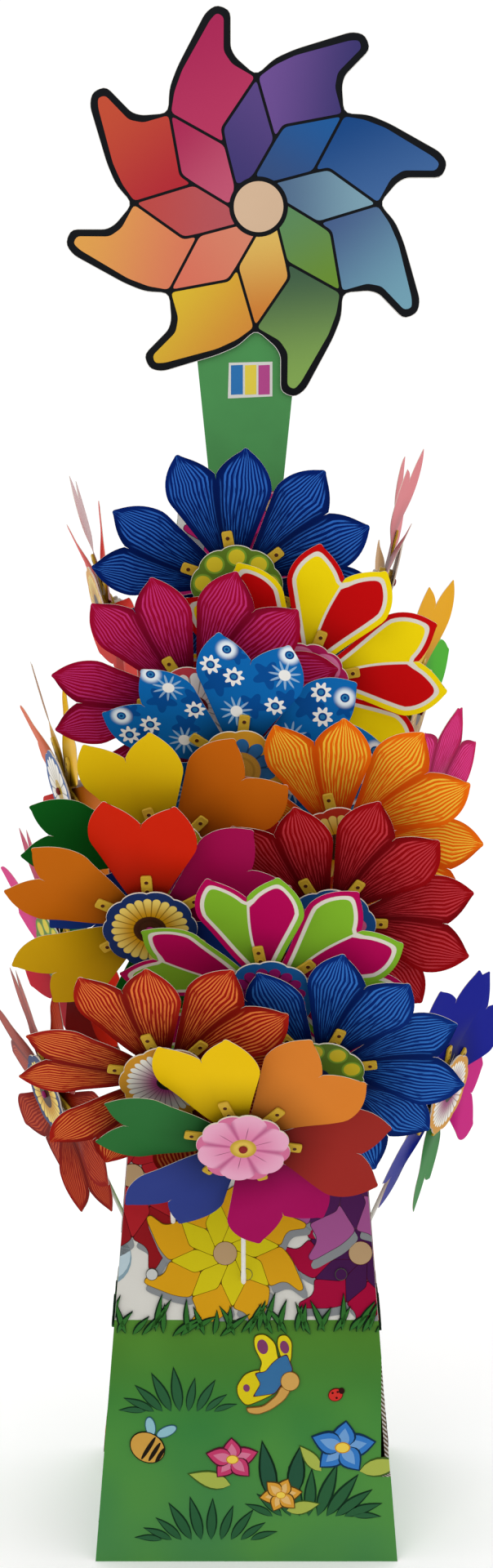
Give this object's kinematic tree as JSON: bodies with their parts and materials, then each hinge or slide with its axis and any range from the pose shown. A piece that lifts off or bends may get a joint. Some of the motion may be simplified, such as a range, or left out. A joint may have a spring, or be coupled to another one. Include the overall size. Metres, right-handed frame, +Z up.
{
  "type": "pinwheel display",
  "caption": "Standing printed card tower with a big die-cut pinwheel sign on top and flower pinwheels on sticks pushed into its front and sides, each free to spin.",
  "frame": {"origin": "centre of the underside of the tower's foot, on the floor", "axes": "+Z up, -Y towards the viewer at the front, +X to the viewer's right"},
  "size_m": [0.5377, 0.4881, 1.504],
  "materials": {
    "printed_board": "printed and varnished corrugated card",
    "plain_board": "bare brown corrugated card",
    "lid_board": "printed and varnished corrugated card",
    "neck_board": "printed and varnished corrugated card",
    "sign_board": "printed and varnished corrugated card",
    "stick": "white moulded plastic",
    "axle_pin": "bright wire",
    "hub": "yellow moulded plastic",
    "face_disc": "printed plastic film",
    "petal_1": "thin plastic film, glossy front and pale back",
    "petal_2": "thin plastic film, glossy front and pale back",
    "petal_3": "thin plastic film, glossy front and pale back",
    "petal_4": "thin plastic film, glossy front and pale back",
    "petal_5": "thin plastic film, glossy front and pale back",
    "petal_6": "thin plastic film, glossy front and pale back",
    "front_01_wheel": "thin printed plastic film",
    "front_02_wheel": "thin printed plastic film",
    "front_03_wheel": "thin printed plastic film",
    "front_04_wheel": "thin printed plastic film",
    "front_05_wheel": "thin printed plastic film",
    "front_06_wheel": "thin printed plastic film",
    "front_07_wheel": "thin printed plastic film",
    "front_08_wheel": "thin printed plastic film",
    "front_09_wheel": "thin printed plastic film",
    "front_10_wheel": "thin printed plastic film",
    "front_11_wheel": "thin printed plastic film",
    "left_1_wheel": "thin printed plastic film",
    "left_2_wheel": "thin printed plastic film",
    "left_3_wheel": "thin printed plastic film",
    "left_4_wheel": "thin printed plastic film",
    "right_1_wheel": "thin printed plastic film",
    "right_2_wheel": "thin printed plastic film",
    "right_3_wheel": "thin printed plastic film",
    "right_4_wheel": "thin printed plastic film"
  },
  "bodies": {
    "tower": {"front_panel": "printed_board", "back_panel": "printed_board", "left_panel": "printed_board", "right_panel": "printed_board", "foot_board": "plain_board", "lower_divider": "plain_board", "upper_divider": "plain_board", "lid_board": "lid_board", "neck_board": "neck_board", "sign_board": "sign_board", "front_01_stick": "stick", "front_02_stick": "stick", "front_03_stick": "stick", "front_04_stick": "stick", "front_05_stick": "stick", "front_06_stick": "stick", "front_07_stick": "stick", "front_08_stick": "stick", "front_09_stick": "stick", "front_10_stick": "stick", "front_11_stick": "stick", "front_12_stick": "stick", "front_12_axle_pin": "axle_pin", "front_12_axle_cap": "hub", "left_1_stick": "stick", "left_2_stick": "stick", "left_3_stick": "stick", "left_4_stick": "stick", "right_1_stick": "stick", "right_2_stick": "stick", "right_3_stick": "stick", "right_4_stick": "stick"},
    "front_01_spinner": {"front_01_wheel": "front_01_wheel"},
    "front_02_spinner": {"front_02_wheel": "front_02_wheel"},
    "front_03_spinner": {"front_03_wheel": "front_03_wheel"},
    "front_04_spinner": {"front_04_wheel": "front_04_wheel"},
    "front_05_spinner": {"front_05_wheel": "front_05_wheel"},
    "front_06_spinner": {"front_06_wheel": "front_06_wheel"},
    "front_07_spinner": {"front_07_wheel": "front_07_wheel"},
    "front_08_spinner": {"front_08_wheel": "front_08_wheel"},
    "front_09_spinner": {"front_09_wheel": "front_09_wheel"},
    "front_10_spinner": {"front_10_wheel": "front_10_wheel"},
    "front_11_spinner": {"front_11_wheel": "front_11_wheel"},
    "front_12_spinner": {"front_12_hub": "hub", "front_12_petal_1": "petal_1", "front_12_petal_2": "petal_2", "front_12_petal_3": "petal_3", "front_12_petal_4": "petal_4", "front_12_petal_5": "petal_5", "front_12_petal_6": "petal_6", "front_12_face_disc": "face_disc"},
    "left_1_spinner": {"left_1_wheel": "left_1_wheel"},
    "left_2_spinner": {"left_2_wheel": "left_2_wheel"},
    "left_3_spinner": {"left_3_wheel": "left_3_wheel"},
    "left_4_spinner": {"left_4_wheel": "left_4_wheel"},
    "right_1_spinner": {"right_1_wheel": "right_1_wheel"},
    "right_2_spinner": {"right_2_wheel": "right_2_wheel"},
    "right_3_spinner": {"right_3_wheel": "right_3_wheel"},
    "right_4_spinner": {"right_4_wheel": "right_4_wheel"}
  },
  "joints": [
    {"name": "front_01_spin", "type": "hinge", "parent": "tower", "child": "front_01_spinner", "pos_m": [-0.009, -0.128, 0.97], "axis": [0, -0.9511, -0.309], "continuous": true},
    {"name": "front_02_spin", "type": "hinge", "parent": "tower", "child": "front_02_spinner", "pos_m": [0.052, -0.128, 0.881], "axis": [0, -0.9455, -0.3256], "continuous": true},
    {"name": "front_03_spin", "type": "hinge", "parent": "tower", "child": "front_03_spinner", "pos_m": [-0.047, -0.152, 0.863], "axis": [0, -0.9397, -0.342], "continuous": true},
    {"name": "front_04_spin", "type": "hinge", "parent": "tower", "child": "front_04_spinner", "pos_m": [-0.007, -0.161, 0.806], "axis": [0, -0.9336, -0.3584], "continuous": true},
    {"name": "front_05_spin", "type": "hinge", "parent": "tower", "child": "front_05_spinner", "pos_m": [0.086, -0.162, 0.735], "axis": [0, -0.9272, -0.3746], "continuous": true},
    {"name": "front_06_spin", "type": "hinge", "parent": "tower", "child": "front_06_spinner", "pos_m": [-0.073, -0.189, 0.728], "axis": [0, -0.9205, -0.3907], "continuous": true},
    {"name": "front_07_spin", "type": "hinge", "parent": "tower", "child": "front_07_spinner", "pos_m": [0.076, -0.192, 0.666], "axis": [0, -0.9135, -0.4067], "continuous": true},
    {"name": "front_08_spin", "type": "hinge", "parent": "tower", "child": "front_08_spinner", "pos_m": [-0.087, -0.225, 0.672], "axis": [0, -0.9063, -0.4226], "continuous": true},
    {"name": "front_09_spin", "type": "hinge", "parent": "tower", "child": "front_09_spinner", "pos_m": [0.019, -0.226, 0.609], "axis": [0, -0.8988, -0.4384], "continuous": true},
    {"name": "front_10_spin", "type": "hinge", "parent": "tower", "child": "front_10_spinner", "pos_m": [0.066, -0.22, 0.533], "axis": [0, -0.891, -0.454], "continuous": true},
    {"name": "front_11_spin", "type": "hinge", "parent": "tower", "child": "front_11_spinner", "pos_m": [-0.072, -0.253, 0.538], "axis": [0, -0.8829, -0.4695], "continuous": true},
    {"name": "front_12_spin", "type": "hinge", "parent": "tower", "child": "front_12_spinner", "pos_m": [-0.003, -0.252, 0.476], "axis": [0, -0.8746, -0.4848], "continuous": true},
    {"name": "left_1_spin", "type": "hinge", "parent": "tower", "child": "left_1_spinner", "pos_m": [-0.137, 0.034, 0.935], "axis": [-0.9491, -0.2017, -0.2419], "continuous": true},
    {"name": "left_2_spin", "type": "hinge", "parent": "tower", "child": "left_2_spinner", "pos_m": [-0.178, 0.03, 0.752], "axis": [-0.9228, -0.2998, -0.2419], "continuous": true},
    {"name": "left_3_spin", "type": "hinge", "parent": "tower", "child": "left_3_spinner", "pos_m": [-0.186, 0.022, 0.585], "axis": [-0.8721, -0.4253, -0.2419], "continuous": true},
    {"name": "left_4_spin", "type": "hinge", "parent": "tower", "child": "left_4_spinner", "pos_m": [-0.195, 0.005, 0.444], "axis": [-0.8721, -0.4253, -0.2419], "continuous": true},
    {"name": "right_1_spin", "type": "hinge", "parent": "tower", "child": "right_1_spinner", "pos_m": [0.134, 0.026, 0.962], "axis": [0.9697, -0.0339, -0.2419], "continuous": true},
    {"name": "right_2_spin", "type": "hinge", "parent": "tower", "child": "right_2_spinner", "pos_m": [0.164, 0.036, 0.832], "axis": [0.9415, -0.2347, -0.2419], "continuous": true},
    {"name": "right_3_spin", "type": "hinge", "parent": "tower", "child": "right_3_spinner", "pos_m": [0.178, 0.032, 0.708], "axis": [0.9118, -0.3319, -0.2419], "continuous": true},
    {"name": "right_4_spin", "type": "hinge", "parent": "tower", "child": "right_4_spinner", "pos_m": [0.197, 0.005, 0.444], "axis": [0.8567, -0.4555, -0.2419], "continuous": true}
  ]
}
